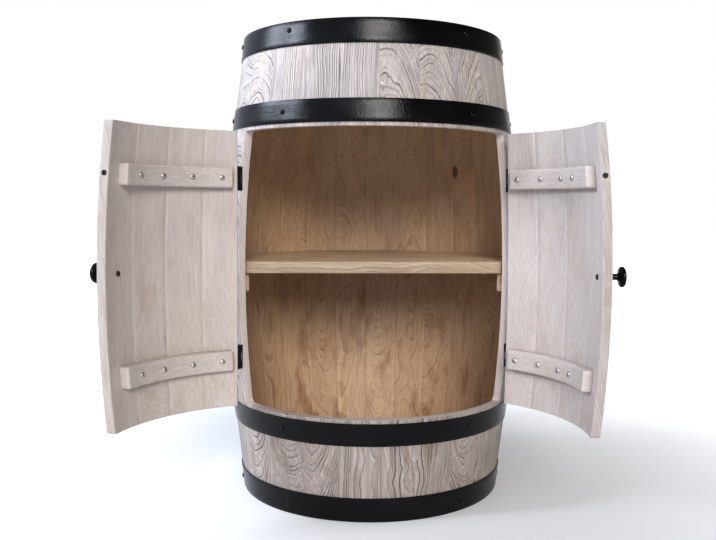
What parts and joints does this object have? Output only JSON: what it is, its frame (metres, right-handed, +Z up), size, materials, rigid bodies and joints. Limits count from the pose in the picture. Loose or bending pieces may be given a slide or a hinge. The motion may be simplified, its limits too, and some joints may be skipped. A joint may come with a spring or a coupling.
{
  "type": "barrel bar cabinet",
  "caption": "Upright wooden barrel with black steel hoops, opened by two curved hinged doors with knobs; a shelf inside rests on curved cleats.",
  "frame": {"origin": "centre of the round foot, on the floor the barrel stands on", "axes": "+Z up along the barrel's axis; the doorway looks along -Y; +X to the right of someone who faces the doorway"},
  "size_m": [0.7863, 0.6441, 0.8],
  "materials": {
    "stave_wood": "limed, brushed pine outside, oiled inside",
    "door_wood": "limed, brushed pine",
    "natural_wood": "oiled pine",
    "black_steel": "satin black strip",
    "black_screws": "black domed heads",
    "hinge_steel": "satin black",
    "black_knob": "satin black",
    "zinc_screws": "bright zinc",
    "magnet": "dull nickel"
  },
  "bodies": {
    "cabinet": {"stave_01": "stave_wood", "stave_02": "stave_wood", "stave_03": "stave_wood", "stave_04": "stave_wood", "stave_05": "stave_wood", "stave_06": "stave_wood", "stave_07": "stave_wood", "stave_08": "stave_wood", "stave_09": "stave_wood", "stave_10": "stave_wood", "stave_11": "stave_wood", "stave_12": "stave_wood", "stave_13": "stave_wood", "stave_14": "stave_wood", "stave_15": "stave_wood", "stave_16": "stave_wood", "upper_short_staves": "stave_wood", "lower_short_staves": "stave_wood", "top_head": "stave_wood", "bottom_head": "stave_wood", "hoop_top": "black_steel", "hoop_upper": "black_steel", "hoop_lower": "black_steel", "hoop_bottom": "black_steel", "hoop_screws": "black_screws", "hoop_rivets": "black_screws", "shelf": "natural_wood", "left_shelf_cleat": "natural_wood", "right_shelf_cleat": "natural_wood", "cleat_screws": "zinc_screws", "left_hinge_frame_leaves": "hinge_steel", "right_hinge_frame_leaves": "hinge_steel", "hinge_pins": "hinge_steel", "frame_hinge_screws": "hinge_steel"},
    "left_door": {"left_door_stave_1": "door_wood", "left_door_stave_2": "door_wood", "left_door_stave_3": "door_wood", "left_door_stave_4": "door_wood", "left_upper_batten": "door_wood", "left_lower_batten": "door_wood", "left_batten_screws": "zinc_screws", "left_knob": "black_knob", "left_knob_screw": "zinc_screws", "left_magnet": "magnet", "left_hinge_door_leaves": "hinge_steel", "left_door_hinge_screws": "hinge_steel"},
    "right_door": {"right_door_stave_1": "door_wood", "right_door_stave_2": "door_wood", "right_door_stave_3": "door_wood", "right_door_stave_4": "door_wood", "right_upper_batten": "door_wood", "right_lower_batten": "door_wood", "right_batten_screws": "zinc_screws", "right_knob": "black_knob", "right_knob_screw": "zinc_screws", "right_magnet": "magnet", "right_hinge_door_leaves": "hinge_steel", "right_door_hinge_screws": "hinge_steel"}
  },
  "joints": [
    {"name": "left_door_hinge", "type": "hinge", "parent": "cabinet", "child": "left_door", "pos_m": [-0.22875, -0.13378, 0.4], "axis": [0, 0, -1], "range_deg": [-103.5, 31.5]},
    {"name": "right_door_hinge", "type": "hinge", "parent": "cabinet", "child": "right_door", "pos_m": [0.22875, -0.13378, 0.4], "axis": [0, 0, 1], "range_deg": [-81.65, 53.35]}
  ]
}
